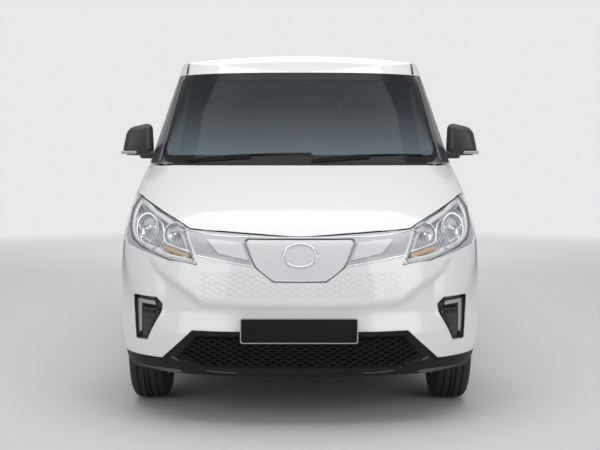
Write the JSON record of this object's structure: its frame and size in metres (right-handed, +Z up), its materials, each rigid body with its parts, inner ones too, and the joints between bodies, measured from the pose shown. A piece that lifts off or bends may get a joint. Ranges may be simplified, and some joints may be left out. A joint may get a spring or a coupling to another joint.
{
  "type": "panel van",
  "caption": "Small electric panel van with opening doors, bonnet and charging flap, steered front wheels, a cab with seats and a hollow load space.",
  "frame": {"origin": "on the ground under the middle of the body", "axes": "-Y forwards, +X to the van's left, +Z up"},
  "size_m": [2.009, 4.555, 1.8939],
  "materials": {
    "white_paint": "gloss white paint",
    "white_plastic": "gloss, body colour",
    "pale_grey_plastic": "gloss",
    "black_plastic": "fine grain",
    "dark_grey_plastic": "gloss",
    "tinted_glass": "polished",
    "clear_lens": "polished",
    "lamp_bezel": "bright",
    "red_lens": "polished",
    "inner_grey_paint": "satin",
    "chassis_paint": "satin black",
    "cast_aluminium": "as cast",
    "cast_iron": "as cast",
    "tyre_rubber": "matt",
    "wheel_silver": "silver paint",
    "soft_black": "soft grain",
    "seat_fabric": "woven"
  },
  "bodies": {
    "van_body": {"roof_panel": "white_paint", "cowl_panel": "black_plastic", "body_side_left": "white_paint", "body_side_right": "white_paint", "front_fenders": "white_paint", "front_bumper": "white_plastic", "grille_panel": "pale_grey_plastic", "lower_grille": "black_plastic", "daylight_lamps": "black_plastic", "headlamp_lenses": "clear_lens", "headlamp_housings": "lamp_bezel", "windscreen": "tinted_glass", "sliding_door": "white_paint", "rear_hinges": "white_paint", "tail_lamps": "red_lens", "rear_bumper": "white_plastic", "side_sills": "white_paint", "cab_floor": "inner_grey_paint", "firewall": "inner_grey_paint", "load_floor": "inner_grey_paint", "front_housings": "inner_grey_paint", "rear_housings": "inner_grey_paint", "front_frame": "chassis_paint", "charge_inlet": "black_plastic", "motor_unit": "cast_aluminium", "battery_pack": "chassis_paint", "rear_axle": "chassis_paint", "bulkhead": "inner_grey_paint", "dashboard": "black_plastic", "driver_seat": "seat_fabric", "passenger_seat": "seat_fabric"},
    "front_door_left": {"front_door_left": "white_paint", "door_glass_left": "tinted_glass", "mirror_left": "dark_grey_plastic"},
    "front_door_right": {"front_door_right": "white_paint", "door_glass_right": "tinted_glass", "mirror_right": "dark_grey_plastic"},
    "rear_door_left": {"rear_door_left": "white_paint"},
    "rear_door_right": {"rear_door_right": "white_paint"},
    "bonnet": {"bonnet": "white_paint"},
    "charge_flap": {"charge_flap": "pale_grey_plastic"},
    "knuckle_left": {"knuckle_left": "cast_iron"},
    "knuckle_right": {"knuckle_right": "cast_iron"},
    "steering_wheel": {"steering_wheel": "soft_black"},
    "wheel_front_left": {"tyre_front_left": "tyre_rubber", "wheel_front_left": "wheel_silver"},
    "wheel_front_right": {"tyre_front_right": "tyre_rubber", "wheel_front_right": "wheel_silver"},
    "wheel_rear_left": {"tyre_rear_left": "tyre_rubber", "wheel_rear_left": "wheel_silver"},
    "wheel_rear_right": {"tyre_rear_right": "tyre_rubber", "wheel_rear_right": "wheel_silver"}
  },
  "joints": [
    {"name": "front_door_left_swing", "type": "hinge", "parent": "van_body", "child": "front_door_left", "pos_m": [0.89, -1.114, 0.75], "axis": [0, 0, -1], "range_deg": [0, 70]},
    {"name": "front_door_right_swing", "type": "hinge", "parent": "van_body", "child": "front_door_right", "pos_m": [-0.89, -1.114, 0.75], "axis": [0, 0, 1], "range_deg": [0, 70]},
    {"name": "rear_door_left_swing", "type": "hinge", "parent": "van_body", "child": "rear_door_left", "pos_m": [0.7, 2.2325, 0.9], "axis": [0, 0, -1], "range_deg": [0, 180]},
    {"name": "rear_door_right_swing", "type": "hinge", "parent": "van_body", "child": "rear_door_right", "pos_m": [-0.7, 2.2325, 0.9], "axis": [0, 0, 1], "range_deg": [0, 180]},
    {"name": "bonnet_lift", "type": "hinge", "parent": "van_body", "child": "bonnet", "pos_m": [0, -1.1875, 1.215], "axis": [-1, 0, 0], "range_deg": [0, 55]},
    {"name": "charge_flap_lift", "type": "hinge", "parent": "van_body", "child": "charge_flap", "pos_m": [0, -2.1925, 0.8685], "axis": [-1, 0, 0], "range_deg": [0, 85]},
    {"name": "steer_left", "type": "hinge", "parent": "van_body", "child": "knuckle_left", "pos_m": [0.715, -1.5375, 0.19], "axis": [-0.1834, 0, 0.983], "range_deg": [-35, 35]},
    {"name": "steer_right", "type": "hinge", "parent": "van_body", "child": "knuckle_right", "pos_m": [-0.715, -1.5375, 0.19], "axis": [0.1834, 0, 0.983], "range_deg": [-35, 35]},
    {"name": "steering_wheel_turn", "type": "hinge", "parent": "van_body", "child": "steering_wheel", "pos_m": [0.39, -0.7805, 1.262], "axis": [0, 0.766, 0.6428], "range_deg": [-525, 525]},
    {"name": "spin_front_left", "type": "hinge", "parent": "knuckle_left", "child": "wheel_front_left", "pos_m": [0.767, -1.5375, 0.311], "axis": [1, 0, 0], "continuous": true},
    {"name": "spin_front_right", "type": "hinge", "parent": "knuckle_right", "child": "wheel_front_right", "pos_m": [-0.767, -1.5375, 0.311], "axis": [1, 0, 0], "continuous": true},
    {"name": "spin_rear_left", "type": "hinge", "parent": "van_body", "child": "wheel_rear_left", "pos_m": [0.767, 1.3725, 0.311], "axis": [1, 0, 0], "continuous": true},
    {"name": "spin_rear_right", "type": "hinge", "parent": "van_body", "child": "wheel_rear_right", "pos_m": [-0.767, 1.3725, 0.311], "axis": [1, 0, 0], "continuous": true}
  ],
  "couplings": [
    {"joint": "steer_right", "follows": "steer_left", "ratio": 1},
    {"joint": "steering_wheel_turn", "follows": "steer_left", "ratio": 15}
  ]
}
